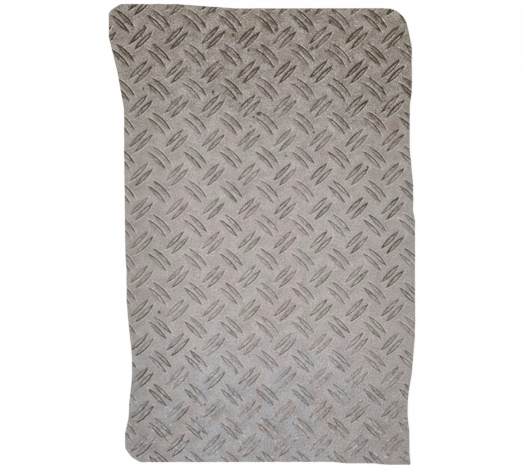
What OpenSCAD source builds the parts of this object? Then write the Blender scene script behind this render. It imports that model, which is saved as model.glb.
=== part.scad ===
// Checker plate: a hand-cut piece of hot-rolled steel plate with a two-bar tread.
// Millimetres, +Z up. The origin is the middle of the underside, and +Y runs along the length.

/* [Plate] */
// Width across the widest points of the cut outline
plate_w = 341; // [200:1:1000]
// Length between the furthest points of the cut outline
plate_l = 515; // [420:1:1500]
// Thickness of the flat web between the bars
web_t = 4.5; // [2.5:0.5:12]

/* [Tread] */
// Distance across the width from one pair of bars to the next like pair
pitch_x = 40; // [36:0.5:70]
// Distance along the length from one pair of bars to the next like pair
pitch_y = 37.9; // [36:0.1:70]
// Length of a bar where it rises from the web
bar_l = 28.5; // [16:0.5:30]
// Width of a bar where it rises from the web
bar_w = 5; // [3:0.1:7]
// Height of a bar above the web
bar_h = 1.5; // [0.5:0.1:2.5]
// Depth that a bar's flanks run on inside the web
bar_root = 1; // [0.5:0.1:2]
// Lean of a bar's flanks from upright, in degrees
flank_lean = 40; // [5:1:45]
// Angle of the bars from the width, in degrees
bar_angle = 44.5; // [35:0.5:55]
// Distance between the centre lines of the two bars of a pair
pair_spacing = 8.2; // [7.4:0.1:10]
// Place of the rolled pattern across the width, from the middle of the piece
tread_shift_x = -14.8; // [-20:0.1:20]
// Place of the rolled pattern along the length, from the middle of the piece
tread_shift_y = -7.7; // [-19:0.1:19]

/* [Cut outline] */
// Radius of the rounded corner at the top right
corner_r = 24; // [5:0.5:60]
// Inset of the rounded corner's circle from the right side
corner_inset_x = 9; // [6:0.1:12]
// Inset of the rounded corner's circle, and of the edge beside it, from the top
corner_inset_y = 5; // [0:0.1:10]
// Lean of the edge that runs down from the rounded corner, in degrees from upright
corner_lean = 13; // [8:1:30]
// Inset of the right edge below that lean
edge_inset_x = 4.2; // [0:0.1:5]
// Waste that the sheet has on every side of the piece
sheet_margin = 20; // [5:1:60]

/* [Hidden] */
$fn = 96;

left = -plate_w / 2;
right = plate_w / 2;
bottom = -plate_l / 2;
top = plate_l / 2;

// The hand-cut edges wander. Each bend is held from the nearer end of its edge,
// as [distance in from the side, distance in from the top or bottom].
left_upper = [[13, 0], [4, 5.5], [0, 9.5], [0, 36], [9.6, 76], [16.6, 117], [16.4, 170]];
left_lower = [
    [17.2, 239], [18.4, 217], [18.4, 182], [24, 122], [24, 100], [20.5, 68],
    [20, 53], [16, 37], [16, 19], [23.5, 8.5], [33, 3.4]
];
right_lower = [
    [92, 3.4], [79, 1.7], [47, 1.6], [30, 0], [4.5, 0], [6, 13],
    [6, 36], [8, 54], [8, 74], [3.2, 106], [0, 145]
];
right_upper = [[0.2, 242], [2.4, 229], [2.4, 202], [6.4, 160], [6.4, 114], [edge_inset_x, 98]];
top_left = [[142, corner_inset_y], [75, 0]];

// Points of the rounded corner, from the leaning edge round to the top edge.
corner_steps = 8;
corner_x = right - corner_inset_x - corner_r;
corner_y = top - corner_inset_y - corner_r;
corner_arc = [
    for (i = [0 : corner_steps])
        let (a = corner_lean + (90 - corner_lean) * i / corner_steps)
        [corner_x + corner_r * cos(a), corner_y + corner_r * sin(a)]
];

// Where the leaning edge, which is the corner's tangent, meets the right edge.
lean_run = right - edge_inset_x - corner_arc[0].x;
lean_foot = [right - edge_inset_x, corner_arc[0].y - lean_run / tan(corner_lean)];

// The whole outline, counter-clockwise from the top left corner.
cut_outline = concat(
    [for (p = left_upper) [left + p.x, top - p.y]],
    [for (p = left_lower) [left + p.x, bottom + p.y]],
    [for (p = right_lower) [right - p.x, bottom + p.y]],
    [for (p = right_upper) [right - p.x, top - p.y]],
    [lean_foot],
    corner_arc,
    [for (p = top_left) [left + p.x, top - p.y]]
);

// The cut runs past both faces of the sheet.
cut_overrun = 1;

// A bar's plan is the lens where two equal circles overlap.
lens_r = (bar_l * bar_l + bar_w * bar_w) / (4 * bar_w);
lens_offset = lens_r - bar_w / 2;

// Places, one pitch apart, from which a pair of bars can reach the piece.
function stops(shift, pitch, length) =
    let (reach = (length + bar_l) / 2)
    [for (k = [ceil((-reach - shift) / pitch) : floor((reach - shift) / pitch)]) shift + k * pitch];

// One round flank of a bar, leaning in as it rises. Side is 1 or -1.
module bar_flank(side) {
    lean = tan(flank_lean);
    translate([0, side * lens_offset, -bar_root])
        cylinder(h = bar_root + bar_h, r1 = lens_r + bar_root * lean, r2 = lens_r - bar_h * lean);
}

// One raised bar along X, standing on the plane z = 0.
module bar() {
    intersection() {
        bar_flank(1);
        bar_flank(-1);
    }
}

// Two bars side by side.
module bar_pair(angle) {
    rotate([0, 0, angle])
        for (side = [-1, 1])
            translate([0, side * pair_spacing / 2, 0])
                bar();
}

// All the pairs that lean one way.
module like_pairs(shift_x, shift_y, angle) {
    for (x = stops(shift_x, pitch_x, plate_w), y = stops(shift_y, pitch_y, plate_l))
        translate([x, y, 0])
            bar_pair(angle);
}

// Pairs that lean one way, and half a pitch between them pairs that lean the other way.
module tread() {
    like_pairs(tread_shift_x, tread_shift_y, bar_angle);
    like_pairs(tread_shift_x + pitch_x / 2, tread_shift_y + pitch_y / 2, -bar_angle);
}

// The sheet as it leaves the rolls, with the bars grown out of its web.
module rolled_sheet() {
    translate([left - sheet_margin, bottom - sheet_margin, 0])
        cube([plate_w + 2 * sheet_margin, plate_l + 2 * sheet_margin, web_t]);
    translate([0, 0, web_t])
        tread();
}

// The piece cut out of the sheet, through bars and web alike.
module checker_plate() {
    color([0.64, 0.61, 0.59])
        intersection() {
            translate([0, 0, -cut_overrun])
                linear_extrude(web_t + bar_h + 2 * cut_overrun)
                    polygon(cut_outline);
            rolled_sheet();
        }
}

checker_plate();
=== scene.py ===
"""A hand-cut piece of checker plate, lying on a white studio floor and seen from above."""

import math

import bmesh
import bpy
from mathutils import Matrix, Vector, noise


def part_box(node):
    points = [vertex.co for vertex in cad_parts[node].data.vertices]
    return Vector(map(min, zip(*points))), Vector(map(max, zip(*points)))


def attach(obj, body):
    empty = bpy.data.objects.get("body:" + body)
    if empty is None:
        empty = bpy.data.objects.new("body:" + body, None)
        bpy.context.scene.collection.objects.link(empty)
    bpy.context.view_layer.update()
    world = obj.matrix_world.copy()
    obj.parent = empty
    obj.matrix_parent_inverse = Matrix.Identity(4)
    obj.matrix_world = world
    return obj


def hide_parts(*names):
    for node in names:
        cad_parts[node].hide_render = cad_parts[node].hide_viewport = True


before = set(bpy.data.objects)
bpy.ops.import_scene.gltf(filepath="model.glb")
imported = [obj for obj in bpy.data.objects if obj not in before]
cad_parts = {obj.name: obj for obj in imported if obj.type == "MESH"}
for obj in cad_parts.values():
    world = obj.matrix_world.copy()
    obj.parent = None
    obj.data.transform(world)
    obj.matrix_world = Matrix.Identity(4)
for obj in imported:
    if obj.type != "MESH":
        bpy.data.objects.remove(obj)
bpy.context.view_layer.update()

# Sizes of the plate, in millimetres unless a name says otherwise
MM = 0.001
PLATE_NODE = "checker_plate"
plate_low, plate_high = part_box(PLATE_NODE)
PLATE_W = (plate_high.x - plate_low.x) / MM
PLATE_L = (plate_high.y - plate_low.y) / MM
PLATE_T = (plate_high.z - plate_low.z) / MM

# The rolled tread
PITCH_X = 40.0
PITCH_Y = 37.9
BAR_L = 28.5
BAR_W = 5.0
BAR_H = 1.5
BAR_ANGLE = math.radians(44.5)
PAIR_SPACING = 8.2
SHIFT_X = -14.8
SHIFT_Y = -7.7
WEB_T = PLATE_T - BAR_H
TREAD_SEED = 4

# The photograph: its width and the tread's pitch in pixels, where its middle falls, and how it is turned
PHOTO_W = 522
PITCH_X_PX = 35.85
VIEW_MIDDLE = (-1.7, 3.6)
VIEW_TILT = math.radians(-1.0)
VIEW_ROLL = math.radians(-0.09)

# Inputs of a Mix node for numbers, vectors and colours, and its outputs for vectors and colours
NUMBER_A = 2
NUMBER_B = 3
VECTOR_A = 4
VECTOR_B = 5
COLOUR_A = 6
COLOUR_B = 7
MIXED_VECTOR = 1
MIXED_COLOUR = 2


def to_linear(colour):
    """The linear RGBA of an sRGB hex colour."""
    parts = [int(colour[k : k + 2], 16) / 255 for k in (1, 3, 5)]
    linear = [c / 12.92 if c <= 0.04045 else ((c + 0.055) / 1.055) ** 2.4 for c in parts]
    return (*linear, 1.0)


def add(tree, kind, links=None, output=0, **settings):
    """Adds a node with its settings, feeds its inputs with values or sockets, and returns one output."""
    node = tree.nodes.new(kind)
    for name, value in settings.items():
        setattr(node, name, value)
    for key, given in (links or {}).items():
        for value in given if isinstance(given, list) else [given]:
            if isinstance(value, bpy.types.NodeSocket):
                tree.links.new(value, node.inputs[key])
            else:
                node.inputs[key].default_value = value
    return node.outputs[output] if node.outputs else None


# The cut outline

CUT_STEP = 2.0
CUT_WOBBLE = 0.35
CUT_WOBBLE_LENGTH = 11.0
CUT_OVERRUN = 2.0
ARRIS_R = 0.6
ARRIS_TURNS = (0, 30, 60, 90)

# Corners nearer than this are one, and the normal of an underside face falls at least this far
MERGE_GAP = 0.001
UNDERSIDE_FALL = -0.9


def underside_outline(node):
    """The CAD plate's outline as 2-D points in millimetres, counter-clockwise from above."""
    bm = bmesh.new()
    bm.from_mesh(node.data)
    bmesh.ops.remove_doubles(bm, verts=bm.verts, dist=MERGE_GAP * MM)
    others = [f for f in bm.faces if f.normal.z > UNDERSIDE_FALL]
    bmesh.ops.delete(bm, geom=others, context="FACES")
    bmesh.ops.dissolve_faces(bm, faces=bm.faces)
    bm.faces.ensure_lookup_table()
    points = [Vector((loop.vert.co.x, loop.vert.co.y)) / MM for loop in bm.faces[0].loops]
    bm.free()
    return points[::-1]


def hand_cut(points):
    """The outline in short steps, its bends eased and its line a little unsteady."""
    fine = []
    for start, end in zip(points, points[1:] + points[:1]):
        steps = max(1, round((end - start).length / CUT_STEP))
        fine += [start.lerp(end, k / steps) for k in range(steps)]
    fine = [(fine[k - 1] + 2 * fine[k] + fine[(k + 1) % len(fine)]) / 4 for k in range(len(fine))]
    line = []
    for point, outward in zip(fine, outward_normals(fine)):
        wobble = noise.noise((point / CUT_WOBBLE_LENGTH).to_3d())
        line.append(point + outward * CUT_WOBBLE * wobble)
    return line


def outward_normals(points):
    """The outward normal at each point of a counter-clockwise loop."""
    normals = []
    for k in range(len(points)):
        along = points[(k + 1) % len(points)] - points[k - 1]
        normals.append(Vector((along.y, -along.x)).normalized())
    return normals


def cut_prism(points):
    """A closed prism through the sheet, with its lower and upper arrises eased to a small round."""
    turns = [math.radians(a) for a in ARRIS_TURNS]
    rings = [(ARRIS_R * (1 - math.sin(a)), ARRIS_R * (1 - math.cos(a))) for a in turns]
    rings += [(ARRIS_R * (1 - math.cos(a)), WEB_T - ARRIS_R * (1 - math.sin(a))) for a in turns]
    rings.append((ARRIS_R, PLATE_T + CUT_OVERRUN))
    normals = outward_normals(points)
    bm = bmesh.new()
    loops = []
    for inset, z in rings:
        ring = [point - outward * inset for point, outward in zip(points, normals)]
        loops.append([bm.verts.new((p.x * MM, p.y * MM, z * MM)) for p in ring])
    count = len(points)
    for lower, upper in zip(loops, loops[1:]):
        for k in range(count):
            n = (k + 1) % count
            bm.faces.new((lower[k], lower[n], upper[n], upper[k]))
    bm.faces.new(loops[0][::-1])
    bm.faces.new(loops[-1])
    mesh = bpy.data.meshes.new("cut_prism")
    bm.to_mesh(mesh)
    bm.free()
    return mesh


# The rolled sheet

# A bar's mesh: its sides and rings, how far its foot spreads and dips into the web, how far its flank
# leans in, and how many times further its tips do
BAR_SIDES = 14
BAR_RINGS = 4
BAR_TOE = 0.15
BAR_DIP = 0.12
BAR_FLANK = 1.25
TIP_TAPER = 2.0

# How the pairs differ: the least and the most of their length, width and height
BAR_SCALE_MIN = (0.98, 0.94, 0.85)
BAR_SCALE_MAX = (1.01, 1.03, 1.0)

# How far the sheet reaches past the plate's sides and its underside before it is cut
SHEET_MARGIN = 20.0
SHEET_BELOW = 5.0

# The most that a normal rises on the cut face, the least on a flat one, and the sharpest smooth bend
CUT_FACE_RISE = 0.3
FLAT_FACE_RISE = 0.999
SMOOTH_BEND = math.radians(40)

# The rolling's named inputs: the kind and the value of each, in metres and radians
TREAD_INPUTS = {
    "Web thickness": ("NodeSocketFloat", WEB_T * MM),
    "Sheet width": ("NodeSocketFloat", (PLATE_W + 2 * SHEET_MARGIN) * MM),
    "Sheet length": ("NodeSocketFloat", (PLATE_L + 2 * SHEET_MARGIN) * MM),
    "Sheet below": ("NodeSocketFloat", SHEET_BELOW * MM),
    "Bar length": ("NodeSocketFloat", BAR_L * MM),
    "Bar width": ("NodeSocketFloat", BAR_W * MM),
    "Bar height": ("NodeSocketFloat", BAR_H * MM),
    "Bar angle": ("NodeSocketFloat", BAR_ANGLE),
    "Pair spacing": ("NodeSocketFloat", PAIR_SPACING * MM),
    "Pitch across": ("NodeSocketFloat", PITCH_X * MM),
    "Pitch along": ("NodeSocketFloat", PITCH_Y * MM),
    "Shift across": ("NodeSocketFloat", SHIFT_X * MM),
    "Shift along": ("NodeSocketFloat", SHIFT_Y * MM),
    "Columns": ("NodeSocketInt", 2 * math.ceil(PLATE_W / 2 / PITCH_X + 0.5) + 1),
    "Rows": ("NodeSocketInt", 2 * math.ceil(PLATE_L / 2 / PITCH_Y + 0.5) + 1),
    "Seed": ("NodeSocketInt", TREAD_SEED),
}

# The lattice's two axes, each with the inputs that lay it out
LATTICE_AXES = (
    ("X", "Columns", "Pitch across", "Shift across"),
    ("Y", "Rows", "Pitch along", "Shift along"),
)


def bar_mesh(tree, given):
    """One bar along X on the plane z = 0: rings of a lens that step up its flank to the crest."""
    drum = add(
        tree,
        "GeometryNodeMeshCylinder",
        {"Vertices": BAR_SIDES, "Side Segments": BAR_RINGS, "Radius": 1.0, "Depth": 1.0},
    )
    at = add(tree, "ShaderNodeSeparateXYZ", {0: add(tree, "GeometryNodeInputPosition")}).node.outputs
    rise = add(tree, "ShaderNodeMath", {0: at["Z"], 1: 0.5}, operation="ADD")
    inset = add(
        tree,
        "ShaderNodeMath",
        {0: rise, 1: BAR_FLANK * MM, 2: -BAR_TOE * MM},
        operation="MULTIPLY_ADD",
    )
    halves = {}
    for size, taper in (("Bar width", 1.0), ("Bar length", TIP_TAPER)):
        lost = add(tree, "ShaderNodeMath", {0: inset, 1: -taper}, operation="MULTIPLY")
        kept = {0: given[size], 1: 0.5, 2: lost}
        halves[size] = add(tree, "ShaderNodeMath", kept, operation="MULTIPLY_ADD")

    # Y times its own size bends the drum's circle to a lens with pointed tips
    side = add(tree, "ShaderNodeMath", {0: at["Y"]}, operation="ABSOLUTE")
    lens = add(tree, "ShaderNodeMath", {0: at["Y"], 1: side}, operation="MULTIPLY")
    place = add(
        tree,
        "ShaderNodeCombineXYZ",
        {
            "X": add(tree, "ShaderNodeMath", {0: at["X"], 1: halves["Bar length"]}, operation="MULTIPLY"),
            "Y": add(tree, "ShaderNodeMath", {0: lens, 1: halves["Bar width"]}, operation="MULTIPLY"),
            "Z": add(
                tree,
                "ShaderNodeMapRange",
                {"Value": rise, "To Min": -BAR_DIP * MM, "To Max": given["Bar height"]},
                interpolation_type="SMOOTHSTEP",
            ),
        },
    )
    return add(tree, "GeometryNodeSetPosition", {"Geometry": drum, "Position": place})


def like_pairs(tree, given, pair, turn, half_steps):
    """All the pairs that lean one way, on a lattice moved on by a number of half pitches."""
    sizes = {}
    shift = {"Z": given["Web thickness"]}
    for axis, count, pitch, start in LATTICE_AXES:
        gaps = add(tree, "ShaderNodeMath", {0: given[count], 1: 1.0}, operation="SUBTRACT")
        span = {0: gaps, 1: given[pitch]}
        sizes["Size " + axis] = add(tree, "ShaderNodeMath", span, operation="MULTIPLY")
        sizes["Vertices " + axis] = given[count]
        step = {0: given[pitch], 1: half_steps / 2, 2: given[start]}
        shift[axis] = add(tree, "ShaderNodeMath", step, operation="MULTIPLY_ADD")
    lattice = add(tree, "GeometryNodeMeshGrid", sizes)
    points = add(
        tree,
        "GeometryNodeTransform",
        {"Geometry": lattice, "Translation": add(tree, "ShaderNodeCombineXYZ", shift)},
    )
    angle = add(tree, "ShaderNodeMath", {0: given["Bar angle"], 1: turn}, operation="MULTIPLY")
    return add(
        tree,
        "GeometryNodeInstanceOnPoints",
        {
            "Points": points,
            "Instance": pair,
            "Rotation": add(tree, "ShaderNodeCombineXYZ", {"Z": angle}),
            "Scale": add(
                tree,
                "FunctionNodeRandomValue",
                {0: BAR_SCALE_MIN, 1: BAR_SCALE_MAX, "Seed": given["Seed"]},
                data_type="FLOAT_VECTOR",
            ),
        },
    )


def rolled_plate_tree(steel, cut_steel):
    """The plate: a sheet with its bars grown out of it, kept where the cut prism is."""
    tree = bpy.data.node_groups.new("Rolled and cut plate", "GeometryNodeTree")
    tree.interface.new_socket("Cut prism", in_out="INPUT", socket_type="NodeSocketGeometry")
    for name, (kind, _) in TREAD_INPUTS.items():
        tree.interface.new_socket(name, in_out="INPUT", socket_type=kind)
    tree.interface.new_socket("Plate", in_out="OUTPUT", socket_type="NodeSocketGeometry")
    given = add(tree, "NodeGroupInput").node.outputs

    bar = bar_mesh(tree, given)
    two_bars = []
    for side in (0.5, -0.5):
        off = add(tree, "ShaderNodeMath", {0: given["Pair spacing"], 1: side}, operation="MULTIPLY")
        place = add(tree, "ShaderNodeCombineXYZ", {"Y": off})
        two_bars.append(add(tree, "GeometryNodeTransform", {"Geometry": bar, "Translation": place}))
    pair = add(tree, "GeometryNodeJoinGeometry", {0: two_bars})
    pairs = [like_pairs(tree, given, pair, 1.0, 0), like_pairs(tree, given, pair, -1.0, 1)]
    tread = add(tree, "GeometryNodeJoinGeometry", {0: pairs})
    bars = add(tree, "GeometryNodeRealizeInstances", {0: tread})

    levels = {0: given["Web thickness"], 1: given["Sheet below"]}
    depth = add(tree, "ShaderNodeMath", levels, operation="ADD")
    size = add(
        tree, "ShaderNodeCombineXYZ", {"X": given["Sheet width"], "Y": given["Sheet length"], "Z": depth}
    )
    block = add(tree, "GeometryNodeMeshCube", {"Size": size})
    twice_middle = add(tree, "ShaderNodeMath", levels, operation="SUBTRACT")
    middle = add(tree, "ShaderNodeMath", {0: twice_middle, 1: 0.5}, operation="MULTIPLY")
    lift = add(tree, "ShaderNodeCombineXYZ", {"Z": middle})
    web = add(tree, "GeometryNodeTransform", {"Geometry": block, "Translation": lift})
    sheet = add(tree, "GeometryNodeMeshBoolean", {1: [web, bars]}, operation="UNION", solver="MANIFOLD")
    piece = add(
        tree,
        "GeometryNodeMeshBoolean",
        {1: [sheet, given["Cut prism"]]},
        operation="INTERSECT",
        solver="MANIFOLD",
    )

    normal = add(tree, "GeometryNodeInputNormal")
    facing = add(tree, "ShaderNodeSeparateXYZ", {0: normal}).node.outputs["Z"]
    steep = add(tree, "ShaderNodeMath", {0: facing, 1: 0.0, 2: CUT_FACE_RISE}, operation="COMPARE")
    whole = add(tree, "GeometryNodeRealizeInstances", {0: piece})
    coated = add(tree, "GeometryNodeSetMaterial", {"Geometry": whole, "Material": steel})
    cut_face = {"Geometry": coated, "Selection": steep, "Material": cut_steel}
    done = add(tree, "GeometryNodeSetMaterial", cut_face)
    add(tree, "NodeGroupOutput", {0: done})
    return tree


def rolled_plate(steel, cut_steel):
    """The finished plate as one plain mesh."""
    prism = cut_prism(hand_cut(underside_outline(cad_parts[PLATE_NODE])))
    plate = bpy.data.objects.new("rolled_plate", prism)
    tree = rolled_plate_tree(steel, cut_steel)
    rolling = plate.modifiers.new("Rolling and cutting", "NODES")
    rolling.node_group = tree
    for item in tree.interface.items_tree:
        if item.in_out == "INPUT" and item.name in TREAD_INPUTS:
            rolling[item.identifier] = TREAD_INPUTS[item.name][1]
    bpy.context.scene.collection.objects.link(plate)
    made = plate.evaluated_get(bpy.context.evaluated_depsgraph_get())
    mesh = bpy.data.meshes.new_from_object(made)
    plate.modifiers.clear()
    plate.data = mesh
    for face in mesh.polygons:
        face.use_smooth = abs(face.normal.z) < FLAT_FACE_RISE
    mesh.set_sharp_from_angle(angle=SMOOTH_BEND)
    return plate


# Materials

# Colours of the oxide, of what lies on it, of painted shade, highlight and sheen, and of the cut face
STEEL = "#ada6a5"
STEEL_PINK = "#b09f9d"
STEEL_GREEN = "#acaca1"
# The oxide's blue tint, also drawn as a painted cool sheen
STEEL_BLUE_AND_SHEEN = "#adb0b8"
DIRT_FILM = "#877c6e"
# A grey-brown film, drawn as dirt on the crests and as painted shade towards the plate's edges
GREY_DIRT_AND_SHADE = "#857f79"
BAR_FILM = "#888581"
BAR_DIRT = "#87765e"
GRIME = "#3b332a"
# Dark grime, also drawn as painted shade on the bars' flanks
LINE_GRIME_AND_SHADE = "#35250c"
GRANULE = "#3a3022"
# Pale rubbed steel, also drawn as a painted highlight beside the bars
SWEPT_AND_HIGHLIGHT = "#c9c1bb"
PIT = "#6e665f"
RUST = "#6f4a33"
RUST_STAIN = "#7d5a3f"
CUT_DARK = "#4d463f"
CUT_BARE = "#8a837c"

# Noise patterns: the size of a patch in millimetres, and how many times finer detail is laid over it.
# The oxide's real grain is too fine to show, so grain, pits and flecks are drawn a few times coarser.
PATTERNS = {
    "cloud": (90.0, 1.0),
    "tint": (36.0, 1.0),
    "cast": (26.0, 1.0),
    "film": (12.0, 4.0),
    "wear": (24.0, 1.0),
    "gap": (4.0, 2.0),
    "smear": (19.0, 2.0),
    "clump": (24.0, 1.0),
    "smudge": (6.0, 1.0),
    "pit": (2.4, 0.0),
    "fleck": (3.4, 1.0),
    "grain": (1.5, 1.0),
}

# How far apart the patterns are drawn, so that no two of them agree, and the middle of their values
PATTERN_STEP = 1000.0
NOISE_MIDDLE = 0.5

# The grain's bump: how strongly it shows, and its depth
GRAIN_BUMP = 0.35
GRAIN_RELIEF = 0.15

# Loose specks: how far apart they lie, and how much their sizes differ
SPECK_GAP = 3.6
SPECK_SPREAD = -0.36

# Streaks on the bars' crests, which run along each bar
STREAK_LENGTH = 7.0
STREAK_WIDTH = 1.7
STREAK_DETAIL = 1.0

# The cell that points are folded into is this tall either way, so a height on the plate isn't folded
FOLD_HEIGHT = 1000.0

# How far the dirty end's border wanders and leans, and how far a line of grime and painted shade wanders off
# its course
DIRT_DRIFT = 70.0
DIRT_LEAN = 0.12
LINE_DRIFT = 0.5

# Stuck lumps of dirt and rust stains: across, along and how wide
LUMPS = (
    (-4, 136, 4.9), (-10, 132, 2.3), (75, 237, 4.0), (49, 249, 2.6), (55, 208, 3.8), (16, 229, 5.0),
    (-32, 223, 3.6), (-15, 206, 3.1), (-55, 160, 3.6), (-132, 164, 2.5), (-116, -85, 2.7), (-71, -220, 2.4),
    (57, 115, 2.3), (70, 205, 3.2), (26, 89, 2.2), (-13, 122, 2.7), (-65, -189, 2.4), (-30, -154, 2.2),
    (-74, -205, 2.4), (-76, -126, 2.2), (-128, -214, 2.2), (9, -118, 2.4), (117, 76, 2.5), (-131, 233, 2.6),
)
RUST_STAINS = ((120, 134, 7.0), (127, 125, 8.0), (115, 126, 5.0), (147, 121, 10.0), (82, 228, 5.0))

# Each kind of spot: its places, the width of its soft rim and its share of the surface, all ragged alike
SPOTS = {
    "lump": (LUMPS, 1.4, 0.9),
    "rust_stain": (RUST_STAINS, 5.0, 0.35),
}
SPOT_RAGGED = -3.0

# The grime and painted shade on a bar's flank, on its upper right, upper left, lower right and lower left:
# where it lies from the foot, how wide it is and how strong, at the plate's clean end and at its dirty end.
# The sides differ as the light falls on them, so part of each line is painted shade
SIDES = {
    "clean_place": (-0.2, -0.3, -0.35, -0.8),
    "grimy_place": (-0.9, -0.8, -0.5, -0.9),
    "clean_width": (0.8, 1.2, 1.0, 1.2),
    "grimy_width": (1.15, 1.3, 0.9, 1.1),
    "clean_line": (0.17, 0.15, 0.82, 0.55),
    "grimy_line": (1.85, 1.05, 0.45, 0.32),
}

# One side of a bar blends into the other within this far of its middle line
SIDE_BLEND = 0.6

# Distances to either side of a line that runs round a bar: what it is measured from, and where it lies
LINES = {
    "off_flank": ("from_wandering_foot", "line_place"),
    "off_foot": ("from_wandering_foot", 0.3),
    "off_bar": ("from_foot", 0.5),
    "off_rim": ("from_foot", 0.95),
}

# Smooth changes, in working order: what is read, between which two values, and the result at each of them
CHANGES = {
    # The tread side, and not the underside
    "tread_side": ("z", WEB_T - 0.5, WEB_T - 0.1, 0.0, 1.0),
    # Along the plate: a cool clean end, then a film of dirt that thickens to the other end
    "dirty": ("along", 10.0, 275.0, 0.0, 1.0),
    "grimy": ("along", -300.0, 330.0, 0.0, 1.0),
    "cool": ("along", -230.0, -70.0, 1.0, 0.0),
    "cool_side": ("x", 0.0, 150.0, 1.0, 0.4),
    "film_patch": ("film", 0.3, 0.7, 0.5, 1.0),
    # The steel's oxide: its tints, the blue one partly a painted cool sheen, its pits and how strongly its
    # grain shows
    "pink": ("tint", 0.5, 0.7, 0.0, 0.42),
    "green": ("tint", 0.3, 0.5, 0.42, 0.0),
    "pink_fleck": ("fleck", 0.52, 0.72, 0.0, 0.38),
    "green_fleck": ("fleck", 0.28, 0.48, 0.38, 0.0),
    "dark_pit": ("pit", 0.72, 0.86, 0.0, 0.45),
    "bright_pit": ("pit", 0.14, 0.28, 0.45, 0.0),
    "blue": ("cast", 0.35, 0.65, 0.2, 0.9),
    "clean_grain": ("cool", 0.0, 1.0, 0.83, 1.02),
    "grain_depth": ("dirty", 0.0, 1.0, "clean_grain", 1.95),
    # Painted shade: the plate drawn darker towards its left and right edges and its low end
    "left_touch": ("grimy", 0.0, 1.0, 0.65, 0.45),
    "left_edge_shade": ("x", -60.0, -PLATE_W / 2, 0.0, "left_touch"),
    "right_edge_shade": ("x", 70.0, PLATE_W / 2, 0.0, 0.35),
    "low_end_shade": ("y", -PLATE_L / 2, -PLATE_L / 5, 0.4, 0.0),
    # The line of grime and painted shade on each flank
    "cool_rest": ("cool", 0.0, 1.0, 0.6, 0.15),
    "cool_full": ("cool", 0.0, 1.0, 1.3, 1.6),
    "wear_rest": ("dirty", 0.3, 1.0, "cool_rest", 0.9),
    "wear_full": ("dirty", 0.3, 1.0, "cool_full", 2.9),
    "wear_patch": ("wear", 0.4, 0.6, "wear_rest", "wear_full"),
    "gap_patch": ("gap", 0.32, 0.55, 0.55, 1.2),
    "line_share": ("grimy", 0.0, 1.0, "clean_line", "grimy_line"),
    "line_width": ("dirty", 0.0, 1.0, "clean_width", "grimy_width"),
    "flank_line": ("off_flank", 0.0, "line_width", 1.0, 0.0),
    # The right side and the left corners, where the flank lines of grime and painted shade are drawn
    # stronger, and the crests' film too
    "right_full": ("y", -190.0, -110.0, 0.95, 1.33),
    "right_grime_and_shade": ("x", 30.0, 140.0, 0.85, "right_full"),
    "low_left_full": ("y", -130.0, -80.0, 2.1, 1.05),
    "low_left_dirt_and_shade": ("x", -45.0, -105.0, 1.0, "low_left_full"),
    "top_left_full": ("y", 110.0, 170.0, 1.0, 2.2),
    "top_left_dirt_and_shade": ("x", -105.0, -150.0, 1.0, "top_left_full"),
    # Dirt swept against the foot, and a painted highlight along the rim beyond it
    "foot_line": ("off_foot", 0.0, 1.2, 0.4, 0.0),
    "painted_rim_highlight": ("off_rim", 0.0, 0.9, 1.0, 0.0),
    "rim_highlight_patch": ("gap", 0.35, 0.6, 0.35, 0.75),
    "rim_highlight_share": ("cool", 0.0, 1.0, 1.0, 0.2),
    # Smudges beside the bars: grime at the dirty end, small blots and pale scuffs at the clean end
    "near_bar": ("off_bar", 0.0, 2.2, 1.0, 0.0),
    "smudge_patch": ("smudge", 0.6, 0.76, 0.0, 0.8),
    "smudged": ("dirty", 0.1, 0.8, 0.0, 1.0),
    "blot": ("gap", 0.6, 0.74, 0.0, 0.55),
    "scuff": ("smudge", 0.28, 0.42, 0.7, 0.0),
    # Film and smears on the bars' crests, and streaks that are dark or rubbed bright
    "crest": ("from_foot", -0.9, -1.4, 0.0, 1.0),
    "crest_patch": ("smear", 0.4, 0.6, 0.0, 0.36),
    "crest_dirt": ("dirty", 0.2, 1.0, 0.18, 0.75),
    "crest_mark": ("streak", 0.49, 0.68, 0.05, 0.65),
    "crest_core": ("streak", 0.62, 0.76, 0.0, 0.5),
    "rub_share": ("dirty", 0.0, 0.4, 0.35, 0.22),
    "crest_rub": ("streak", 0.32, 0.46, "rub_share", 0.0),
    "bar_top": ("from_foot", -0.2, -0.9, 0.0, 1.0),
    "bar_worn": ("along", -200.0, 60.0, 0.1, 0.85),
    "crest_middle": ("from_foot", -0.7, -1.2, 0.0, 1.0),
    "smear_patch": ("smear", 0.45, 0.7, 0.0, 0.28),
    # Loose granules
    "speck_spot": ("speck_rim", -0.16, 0.02, 1.0, 0.0),
    "speck_depth": ("speck_draw", 0.0, 1.0, 0.4, 1.0),
    "speck_patch": ("clump", 0.4, 0.62, 0.0, 1.0),
    "speckled": ("dirty", 0.05, 0.6, 0.0, 0.75),
    # Gloss
    "roughness": ("film", 0.3, 0.7, 0.68, 0.82),
    "metal": ("flank_line", 0.0, 1.0, 0.2, 0.05),
}

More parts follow.
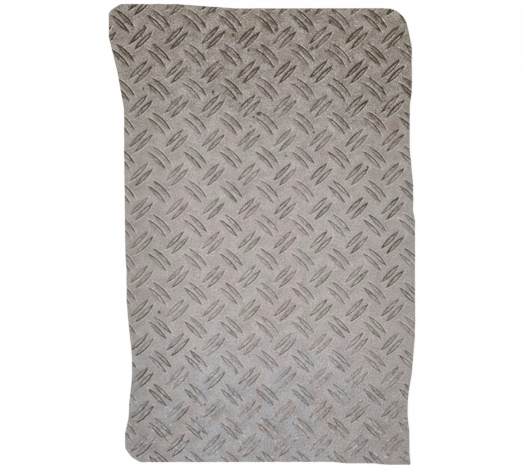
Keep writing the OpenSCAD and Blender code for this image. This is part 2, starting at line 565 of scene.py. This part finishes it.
# Coats from the lowest up: the colour, and what is multiplied to give its share of the surface
COATS = (
    (STEEL_PINK, "pink"),
    (STEEL_GREEN, "green"),
    (STEEL_PINK, "pink_fleck"),
    (STEEL_GREEN, "green_fleck"),
    # A bluish cast towards the clean end: partly the oxide's tint, partly a painted cool sheen
    (STEEL_BLUE_AND_SHEEN, "blue", "cool", "cool_side"),
    (PIT, "dark_pit"),
    (SWEPT_AND_HIGHLIGHT, "bright_pit"),
    # Painted shade, darker towards the left and right edges and the low end
    (GREY_DIRT_AND_SHADE, "left_edge_shade"),
    (GREY_DIRT_AND_SHADE, "right_edge_shade"),
    (GREY_DIRT_AND_SHADE, "low_end_shade"),
    (DIRT_FILM, "film_patch", "dirty"),
    # A painted pale highlight along the rim beside the bars' right-hand flanks
    (SWEPT_AND_HIGHLIGHT, "painted_rim_highlight", "rim_highlight_patch", "rim_highlight_share", "right", "tread_side"),
    (BAR_FILM, "crest", "crest_patch", "low_left_dirt_and_shade", "top_left_dirt_and_shade", "tread_side"),
    (BAR_DIRT, "crest", "crest_patch", "crest_dirt", "top_left_dirt_and_shade", "tread_side"),
    (BAR_DIRT, "bar_top", "crest_mark", "bar_worn", "tread_side"),
    (GREY_DIRT_AND_SHADE, "crest", "crest_mark", "cool", "tread_side"),
    (LINE_GRIME_AND_SHADE, "crest", "crest_core", "tread_side"),
    (SWEPT_AND_HIGHLIGHT, "crest", "crest_rub", "tread_side"),
    (GRIME, "crest_middle", "smear_patch", "dirty", "tread_side"),
    (GRIME, "foot_line", "left", "dirty", "tread_side"),
    (GRIME, "near_bar", "smudge_patch", "smudged", "tread_side"),
    (SWEPT_AND_HIGHLIGHT, "near_bar", "scuff", "cool", "tread_side"),
    # Grime along the bars' flanks, with painted shade on the flanks turned from the light
    (
        LINE_GRIME_AND_SHADE, "flank_line", "wear_patch", "gap_patch", "line_share",
        "right_grime_and_shade", "low_left_dirt_and_shade", "top_left_dirt_and_shade", "tread_side",
    ),
    (LINE_GRIME_AND_SHADE, "near_bar", "blot", "cool", "tread_side"),
    (GRANULE, "speck_spot", "speck_depth", "speck_patch", "speckled"),
    (RUST_STAIN, "rust_stain", "tread_side"),
    (GRANULE, "lump", "tread_side"),
)

# The cut face: its drag lines, where they are bare and how deep, then its bloom of rust, then its gloss
DRAG_SIZE = 0.9
DRAG_LENGTH = 20.0
DRAG_DETAIL = 3.0
BARE_FROM = 0.3
BARE_FULL = 0.7
DRAG_BUMP = 0.6
DRAG_RELIEF = 0.2
RUST_SIZE = 14.0
RUST_DETAIL = 4.0
RUST_FROM = 0.45
RUST_FULL = 0.7
RUST_SHARE = 0.7
CUT_METAL = 0.5
CUT_ROUGHNESS = 0.6


def new_material(name):
    """An empty node material and its tree."""
    material = bpy.data.materials.new(name)
    material.use_nodes = True
    material.node_tree.nodes.clear()
    return material, material.node_tree


def bar_distance_group():
    """For the nearest bar of one lean: millimetres from its foot, less than nothing on it, millimetres
    across from its middle line, and a point at which to draw its streaks."""
    lens_r = (BAR_L**2 + BAR_W**2) / (4 * BAR_W)
    group = bpy.data.node_groups.new("Distance from a bar", "ShaderNodeTree")
    group.interface.new_socket("Point", in_out="INPUT", socket_type="NodeSocketVector")
    group.interface.new_socket("Shift", in_out="INPUT", socket_type="NodeSocketVector")
    group.interface.new_socket("Turn", in_out="INPUT", socket_type="NodeSocketFloat")
    group.interface.new_socket("Distance", in_out="OUTPUT", socket_type="NodeSocketFloat")
    group.interface.new_socket("Across", in_out="OUTPUT", socket_type="NodeSocketFloat")
    group.interface.new_socket("Streak", in_out="OUTPUT", socket_type="NodeSocketVector")
    given = add(group, "NodeGroupInput").node.outputs
    from_first = {0: given["Point"], 1: given["Shift"]}
    moved = add(group, "ShaderNodeVectorMath", from_first, operation="SUBTRACT")
    cell = (PITCH_X / 2, PITCH_Y / 2, FOLD_HEIGHT)
    folded = add(
        group, "ShaderNodeVectorMath", {0: moved, 1: cell, 2: tuple(-c for c in cell)}, operation="WRAP"
    )
    turned = add(
        group,
        "ShaderNodeVectorRotate",
        {"Vector": folded, "Angle": given["Turn"]},
        rotation_type="Z_AXIS",
    )
    at = add(group, "ShaderNodeSeparateXYZ", {0: turned}).node.outputs
    which = add(group, "ShaderNodeMath", {0: at["Y"]}, operation="SIGN")
    across = add(
        group, "ShaderNodeMath", {0: which, 1: -PAIR_SPACING / 2, 2: at["Y"]}, operation="MULTIPLY_ADD"
    )
    side = add(group, "ShaderNodeMath", {0: across}, operation="ABSOLUTE")
    far = add(group, "ShaderNodeMath", {0: side, 1: lens_r - BAR_W / 2}, operation="ADD")
    reach = add(group, "ShaderNodeCombineXYZ", {"X": at["X"], "Y": far})
    length = add(group, "ShaderNodeVectorMath", {0: reach}, "Value", operation="LENGTH")
    distance = add(group, "ShaderNodeMath", {0: length, 1: lens_r}, operation="SUBTRACT")

    # Each cell's own place is added, so that its streaks aren't those of the next
    stretch = (1 / STREAK_LENGTH, 1 / STREAK_WIDTH, 0.0)
    stretched = add(group, "ShaderNodeVectorMath", {0: turned, 1: stretch}, operation="MULTIPLY")
    cell_place = add(group, "ShaderNodeVectorMath", {0: moved, 1: folded}, operation="SUBTRACT")
    streak = add(group, "ShaderNodeVectorMath", {0: stretched, 1: cell_place}, operation="ADD")
    add(group, "NodeGroupOutput", {"Distance": distance, "Across": across, "Streak": streak})
    return group


def noise_patterns(tree, point):
    """Sockets for the noise patterns, each drawn at a place of its own."""
    patterns = {}
    for k, (name, (size, detail)) in enumerate(PATTERNS.items()):
        step = (k * PATTERN_STEP, 0.0, 0.0)
        moved = add(tree, "ShaderNodeVectorMath", {0: point, 1: step}, operation="ADD")
        given = {"Vector": moved, "Scale": 1 / size, "Detail": detail}
        patterns[name] = add(tree, "ShaderNodeTexNoise", given, noise_dimensions="2D")
    return patterns


def beside_bars(tree, point):
    """Sockets for the nearest bar: how far off its foot is, its streaks, its sides and the grime and painted
    shade on each.
    """
    group = bar_distance_group()
    leans = []
    for turn, half in ((-1, 0.0), (1, 0.5)):
        shift = (SHIFT_X + half * PITCH_X, SHIFT_Y + half * PITCH_Y, 0.0)
        given = {"Point": point, "Shift": shift, "Turn": turn * BAR_ANGLE}
        leans.append(add(tree, "ShaderNodeGroup", given, node_tree=group).node.outputs)
    rising, falling = leans
    given = {0: rising["Distance"], 1: falling["Distance"]}
    nearest = add(tree, "ShaderNodeMath", given, operation="MINIMUM")
    is_falling = add(tree, "ShaderNodeMath", {0: nearest, 1: rising["Distance"]}, operation="LESS_THAN")
    given = {0: is_falling, VECTOR_A: rising["Streak"], VECTOR_B: falling["Streak"]}
    along_bar = add(tree, "ShaderNodeMix", given, MIXED_VECTOR, data_type="VECTOR")
    given = {"Vector": along_bar, "Scale": 1.0, "Detail": STREAK_DETAIL}
    streak = add(tree, "ShaderNodeTexNoise", given, noise_dimensions="2D")
    fields = {"from_foot": nearest, "streak": streak}

    given = {0: is_falling, NUMBER_A: rising["Across"], NUMBER_B: falling["Across"]}
    upward = add(tree, "ShaderNodeMix", given)
    lean = add(tree, "ShaderNodeMath", {0: is_falling, 1: 2.0, 2: -1.0}, operation="MULTIPLY_ADD")
    rightward = add(tree, "ShaderNodeMath", {0: upward, 1: lean}, operation="MULTIPLY")
    sides = (("upper", upward, 0, 1), ("right", rightward, 0, 1), ("left", rightward, 1, 0))
    for name, measure, low, high in sides:
        given = {"Value": measure, "From Min": -SIDE_BLEND, "From Max": SIDE_BLEND}
        given |= {"To Min": low, "To Max": high}
        fields[name] = add(tree, "ShaderNodeMapRange", given, interpolation_type="SMOOTHSTEP")
    for name, (upper_right, upper_left, lower_right, lower_left) in SIDES.items():
        given = {0: fields["right"], NUMBER_A: upper_left, NUMBER_B: upper_right}
        above = add(tree, "ShaderNodeMix", given)
        given = {0: fields["right"], NUMBER_A: lower_left, NUMBER_B: lower_right}
        below = add(tree, "ShaderNodeMix", given)
        given = {0: fields["upper"], NUMBER_A: below, NUMBER_B: above}
        fields[name] = add(tree, "ShaderNodeMix", given)
    return fields


def places_on_plate(tree, point):
    """Sockets that say where a point lies: on the plate, beside its bars, and in each noise pattern."""
    at = add(tree, "ShaderNodeSeparateXYZ", {0: point}).node.outputs
    fields = {"x": at["X"], "y": at["Y"], "z": at["Z"]}
    fields |= noise_patterns(tree, point)
    fields |= beside_bars(tree, point)

    given = {"Value": at["Y"], "From Min": -PLATE_L / 2, "From Max": PLATE_L / 2}
    given |= {"To Min": fields["clean_place"], "To Max": fields["grimy_place"]}
    fields["line_place"] = add(tree, "ShaderNodeMapRange", given)
    given = {0: at["X"], 1: DIRT_LEAN, 2: at["Y"]}
    fields["leaning_y"] = add(tree, "ShaderNodeMath", given, operation="MULTIPLY_ADD")
    drifts = (
        ("along", "cloud", DIRT_DRIFT, "leaning_y"),
        ("from_wandering_foot", "gap", LINE_DRIFT, "from_foot"),
    )
    for name, pattern, drift, course in drifts:
        swing = add(tree, "ShaderNodeMath", {0: fields[pattern], 1: NOISE_MIDDLE}, operation="SUBTRACT")
        given = {0: swing, 1: drift, 2: fields[course]}
        fields[name] = add(tree, "ShaderNodeMath", given, operation="MULTIPLY_ADD")
    for name, (start, middle) in LINES.items():
        given = {0: fields[start], 1: fields.get(middle, middle)}
        off = add(tree, "ShaderNodeMath", given, operation="SUBTRACT")
        fields[name] = add(tree, "ShaderNodeMath", {0: off}, operation="ABSOLUTE")
    return fields


def loose_dirt(tree, point, fields):
    """Sockets for what lies on the plate: specks drawn at random, stuck lumps and rust stains."""
    given = {"Vector": point, "Scale": 1 / SPECK_GAP}
    speck = add(tree, "ShaderNodeTexVoronoi", given, voronoi_dimensions="2D")
    draw = add(tree, "ShaderNodeSeparateColor", {0: speck.node.outputs["Color"]}).node.outputs
    given = {0: draw["Red"], 1: SPECK_SPREAD, 2: speck}
    dirt = {"speck_draw": draw["Green"]}
    dirt["speck_rim"] = add(tree, "ShaderNodeMath", given, operation="MULTIPLY_ADD")
    for name, (places, rim_width, share) in SPOTS.items():
        spots = 0.0
        for x, y, width in places:
            middle = add(tree, "ShaderNodeCombineXYZ", {"X": x, "Y": y, "Z": fields["z"]})
            away = add(tree, "ShaderNodeVectorMath", {0: point, 1: middle}, "Value", operation="DISTANCE")
            given = {0: fields["fleck"], 1: SPOT_RAGGED, 2: away}
            ragged = add(tree, "ShaderNodeMath", given, operation="MULTIPLY_ADD")
            rim = width / 2 + SPOT_RAGGED / 2
            given = {"Value": ragged, "From Min": rim - rim_width / 2, "From Max": rim + rim_width / 2}
            given |= {"To Min": share, "To Max": 0.0}
            spot = add(tree, "ShaderNodeMapRange", given, interpolation_type="SMOOTHSTEP")
            spots = add(tree, "ShaderNodeMath", {0: spots, 1: spot}, operation="MAXIMUM")
        dirt[name] = spots
    return dirt


def weathered_steel():
    """Hot-rolled mild steel: dull grey oxide with a fine grain and faint tints, a painted cool sheen at the
    clean end, a brown film of dirt towards one end, painted shade towards the edges, grime and painted shade
    along the bars' flanks with a painted highlight beside them, and grime in streaks on their crests."""
    material, tree = new_material("weathered hot-rolled steel")
    metres = add(tree, "ShaderNodeTexCoord", output="Object")
    point = add(tree, "ShaderNodeVectorMath", {0: metres, "Scale": 1 / MM}, operation="SCALE")
    fields = places_on_plate(tree, point)
    fields |= loose_dirt(tree, point, fields)
    for name, (read, *ends) in CHANGES.items():
        given = {"Value": fields[read]}
        for key, end in zip(("From Min", "From Max", "To Min", "To Max"), ends):
            given[key] = fields.get(end, end)
        fields[name] = add(tree, "ShaderNodeMapRange", given, interpolation_type="SMOOTHSTEP")

    colour = to_linear(STEEL)
    for coat, first, *others in COATS:
        share = fields[first]
        for name in others:
            share = add(tree, "ShaderNodeMath", {0: share, 1: fields[name]}, operation="MULTIPLY")
        given = {0: share, COLOUR_A: colour, COLOUR_B: to_linear(coat)}
        colour = add(tree, "ShaderNodeMix", given, MIXED_COLOUR, data_type="RGBA")
    swing = add(tree, "ShaderNodeMath", {0: fields["grain"], 1: NOISE_MIDDLE}, operation="SUBTRACT")
    given = {0: swing, 1: fields["grain_depth"], 2: 1.0}
    shade = add(tree, "ShaderNodeMath", given, operation="MULTIPLY_ADD")
    colour = add(tree, "ShaderNodeVectorMath", {0: colour, "Scale": shade}, operation="SCALE")
    given = {"Strength": GRAIN_BUMP, "Distance": GRAIN_RELIEF * MM, "Height": fields["grain"]}
    bump = add(tree, "ShaderNodeBump", given)
    given = {"Base Color": colour, "Normal": bump}
    given |= {"Metallic": fields["metal"], "Roughness": fields["roughness"]}
    steel = add(tree, "ShaderNodeBsdfPrincipled", given)
    add(tree, "ShaderNodeOutputMaterial", {"Surface": steel})
    return material


def cut_steel_edge():
    """Flame-cut steel: a bare, rough face with fine upright drag lines and a first brown bloom of rust."""
    material, tree = new_material("flame-cut steel edge")
    metres = add(tree, "ShaderNodeTexCoord", output="Object")
    upright = (1 / (DRAG_SIZE * MM), 1 / (DRAG_SIZE * MM), 1 / (DRAG_LENGTH * MM))
    drawn_out = add(tree, "ShaderNodeMapping", {"Vector": metres, "Scale": upright})
    drag = add(tree, "ShaderNodeTexNoise", {"Vector": drawn_out, "Scale": 1.0, "Detail": DRAG_DETAIL})
    given = {"Value": drag, "From Min": BARE_FROM, "From Max": BARE_FULL}
    bare = add(tree, "ShaderNodeMapRange", given)
    given = {"Vector": metres, "Scale": 1 / (RUST_SIZE * MM), "Detail": RUST_DETAIL}
    bloom = add(tree, "ShaderNodeTexNoise", given)
    given = {"Value": bloom, "From Min": RUST_FROM, "From Max": RUST_FULL, "To Max": RUST_SHARE}
    rusted = add(tree, "ShaderNodeMapRange", given)
    colour = to_linear(CUT_DARK)
    for share, coat in ((bare, CUT_BARE), (rusted, RUST)):
        given = {0: share, COLOUR_A: colour, COLOUR_B: to_linear(coat)}
        colour = add(tree, "ShaderNodeMix", given, MIXED_COLOUR, data_type="RGBA")
    given = {"Strength": DRAG_BUMP, "Distance": DRAG_RELIEF * MM, "Height": drag}
    bump = add(tree, "ShaderNodeBump", given)
    given = {"Base Color": colour, "Normal": bump, "Metallic": CUT_METAL, "Roughness": CUT_ROUGHNESS}
    steel = add(tree, "ShaderNodeBsdfPrincipled", given)
    add(tree, "ShaderNodeOutputMaterial", {"Surface": steel})
    return material


# The studio

WHITE = "#ffffff"
FLOOR_SIZE_M = 6.0
FLOOR_GAP = 0.1
FLOOR_WHITE = 0.88
SKY_FILL = 0.42
KEY_PLACE_M = (-0.8, -0.45, 2.2)
KEY_SPREAD = math.radians(30)
KEY_STRENGTH = 1.88
LENS = 50.0
SENSOR = 36.0


def seen_directly(tree):
    """1 for what the camera sees, straight or in a gloss or through glass, and 0 for light on its way."""
    rays = add(tree, "ShaderNodeLightPath").node.outputs
    first = add(
        tree, "ShaderNodeMath", {0: rays["Is Camera Ray"], 1: rays["Is Glossy Ray"]}, operation="MAXIMUM"
    )
    return add(tree, "ShaderNodeMath", {0: first, 1: rays["Is Transmission Ray"]}, operation="MAXIMUM")


def white_floor():
    """White paper: seen as white, and still keeping a soft shadow of the plate."""
    material, tree = new_material("white paper floor")
    share = add(tree, "ShaderNodeMath", {0: seen_directly(tree), 1: FLOOR_WHITE}, operation="MULTIPLY")
    paper = add(tree, "ShaderNodeBsdfDiffuse", {"Color": to_linear(WHITE)})
    glow = add(tree, "ShaderNodeEmission", {"Color": to_linear(WHITE), "Strength": 1.0})
    surface = add(tree, "ShaderNodeMixShader", {0: share, 1: paper, 2: glow})
    add(tree, "ShaderNodeOutputMaterial", {"Surface": surface})

    bm = bmesh.new()
    bmesh.ops.create_grid(bm, x_segments=1, y_segments=1, size=FLOOR_SIZE_M / 2)
    mesh = bpy.data.meshes.new("floor")
    bm.to_mesh(mesh)
    bm.free()
    mesh.materials.append(material)
    floor = bpy.data.objects.new("floor", mesh)
    floor.location.z = -FLOOR_GAP * MM
    bpy.context.scene.collection.objects.link(floor)


def soft_sky():
    """A white world: the eye sees it white, and it fills the shadows softly."""
    world = bpy.data.worlds.new("white sky")
    world.use_nodes = True
    tree = world.node_tree
    tree.nodes.clear()
    strength = add(
        tree, "ShaderNodeMapRange", {"Value": seen_directly(tree), "To Min": SKY_FILL, "To Max": 1.0}
    )
    sky = add(tree, "ShaderNodeBackground", {"Color": to_linear(WHITE), "Strength": strength})
    add(tree, "ShaderNodeOutputWorld", {"Surface": sky})
    bpy.context.scene.world = world


def soft_lamp(name, place, spread, strength):
    """A wide, distant lamp that shines evenly over the plate from the side of a place."""
    data = bpy.data.lights.new(name, "SUN")
    data.angle = spread
    data.energy = strength
    lamp = bpy.data.objects.new(name, data)
    lamp.location = place
    lamp.rotation_euler = (-Vector(place)).to_track_quat("-Z", "Y").to_euler()
    bpy.context.scene.collection.objects.link(lamp)


def camera_above():
    """The photograph's view: looking down, with the plate's top end a hair nearer."""
    data = bpy.data.cameras.new("camera")
    data.lens = LENS
    data.sensor_width = SENSOR
    camera = bpy.data.objects.new("camera", data)
    distance = PHOTO_W * PITCH_X / PITCH_X_PX * LENS / SENSOR
    camera.rotation_euler = (VIEW_TILT, 0.0, VIEW_ROLL)
    back = camera.rotation_euler.to_matrix() @ Vector((0.0, 0.0, distance))
    camera.location = (Vector((*VIEW_MIDDLE, WEB_T)) + back) * MM
    bpy.context.scene.collection.objects.link(camera)
    bpy.context.scene.camera = camera


# The scene

plate = rolled_plate(weathered_steel(), cut_steel_edge())
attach(plate, "root")
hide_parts(PLATE_NODE)

white_floor()
soft_sky()
soft_lamp("key", KEY_PLACE_M, KEY_SPREAD, KEY_STRENGTH)
camera_above()
bpy.context.scene.view_settings.view_transform = "Standard"
